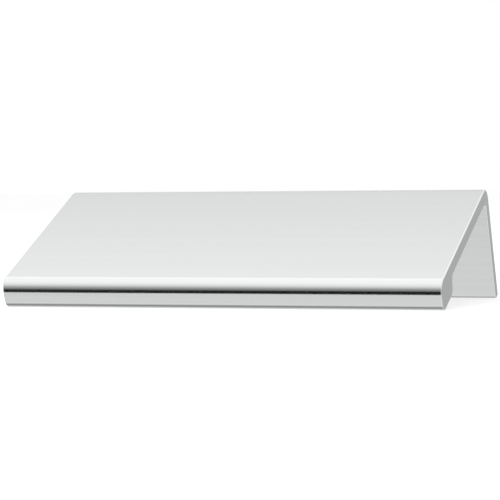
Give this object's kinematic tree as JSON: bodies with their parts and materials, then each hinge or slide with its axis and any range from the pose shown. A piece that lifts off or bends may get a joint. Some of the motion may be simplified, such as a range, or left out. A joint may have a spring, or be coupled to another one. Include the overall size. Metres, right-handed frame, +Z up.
{
  "type": "tab pull",
  "caption": "Extruded aluminium tab pull: a thin drilled flange, a plate at a right angle to it, and a rounded finger lip hanging from the plate's front.",
  "frame": {"origin": "middle of the footprint, on the table that the flange's lower edge and the lip stand on", "axes": "+X along the pull, -Y towards the lip, +Y towards the flange, +Z up as it stands on a table; the plate falls 24.2 degrees towards the front, and the flange leans back as much"},
  "size_m": [0.1, 0.056, 0.0251],
  "materials": {
    "anodised_aluminium": "bright satin anodised extrusion, sawn ends anodised with it"
  },
  "bodies": {
    "root": {"pull_profile": "anodised_aluminium"}
  },
  "joints": []
}
